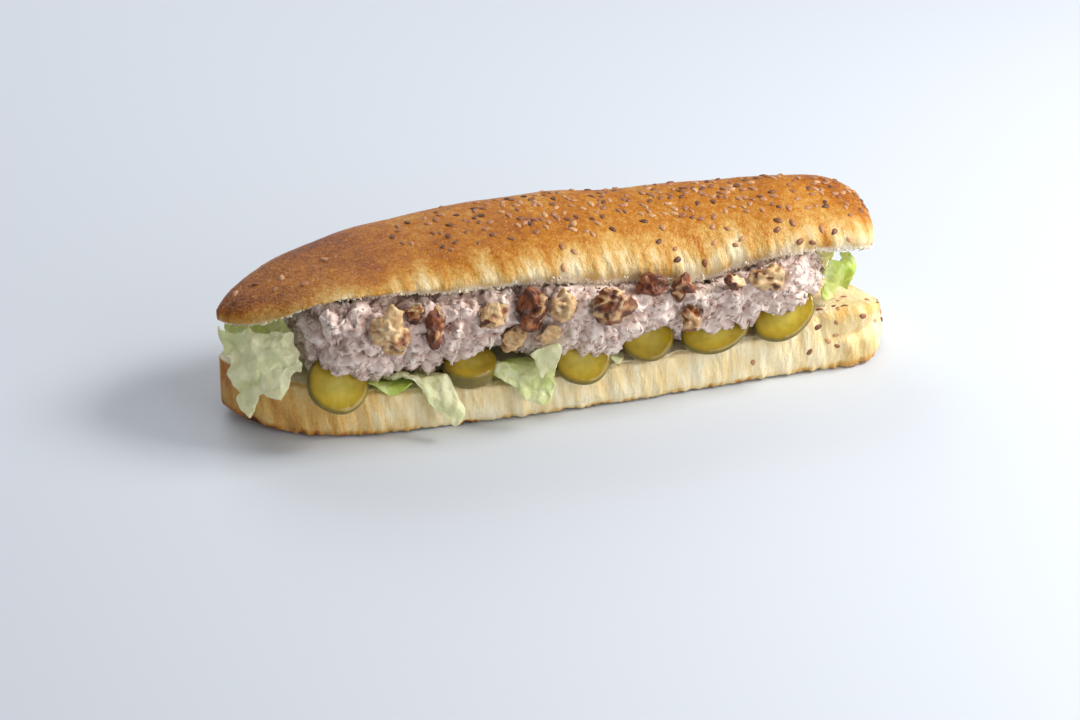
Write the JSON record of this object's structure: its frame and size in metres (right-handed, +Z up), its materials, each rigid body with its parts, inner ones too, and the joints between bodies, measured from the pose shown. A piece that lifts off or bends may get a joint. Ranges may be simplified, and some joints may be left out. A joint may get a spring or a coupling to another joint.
{
  "type": "submarine sandwich",
  "caption": "Long seeded roll opened along one side and filled with flaked tuna salad, walnut pieces, pickle slices and lettuce.",
  "frame": {"origin": "middle of the roll's footprint, on the surface that it lies on", "axes": "+X along the roll from its pointed end to its blunt end, -Y to the open front, +Z up"},
  "size_m": [0.2752, 0.0888, 0.0748],
  "materials": {
    "golden_crust": "baked crust, slight sheen",
    "pale_crust": "pale baked crust, matte",
    "tuna_salad": "moist flaked salad",
    "lettuce": "crisp moist leaf",
    "pickle": "wet and glossy",
    "walnut": "broken nut, dark skin and pale flesh"
  },
  "bodies": {
    "root": {"bread_bottom": "pale_crust", "bread_top": "golden_crust", "lettuce_back_drape": "lettuce", "lettuce_back_fold": "lettuce", "lettuce_bed": "lettuce", "lettuce_front_chip": "lettuce", "lettuce_front_drape": "lettuce", "lettuce_front_fold": "lettuce", "lettuce_front_sliver": "lettuce", "lettuce_front_tuck": "lettuce", "lettuce_left_back": "lettuce", "lettuce_left_curl": "lettuce", "lettuce_left_outer": "lettuce", "lettuce_right_back": "lettuce", "lettuce_right_tip": "lettuce", "pickle_back_1": "pickle", "pickle_back_2": "pickle", "pickle_back_3": "pickle", "pickle_front_1": "pickle", "pickle_front_2": "pickle", "pickle_front_3": "pickle", "pickle_front_4": "pickle", "pickle_front_5": "pickle", "pickle_front_6": "pickle", "tuna_salad": "tuna_salad", "walnut_back_1": "walnut", "walnut_back_2": "walnut", "walnut_back_3": "walnut", "walnut_back_4": "walnut", "walnut_back_5": "walnut", "walnut_front_1": "walnut", "walnut_front_10": "walnut", "walnut_front_11": "walnut", "walnut_front_12": "walnut", "walnut_front_13": "walnut", "walnut_front_14": "walnut", "walnut_front_2": "walnut", "walnut_front_3": "walnut", "walnut_front_4": "walnut", "walnut_front_5": "walnut", "walnut_front_6": "walnut", "walnut_front_7": "walnut", "walnut_front_8": "walnut", "walnut_front_9": "walnut"}
  },
  "joints": []
}
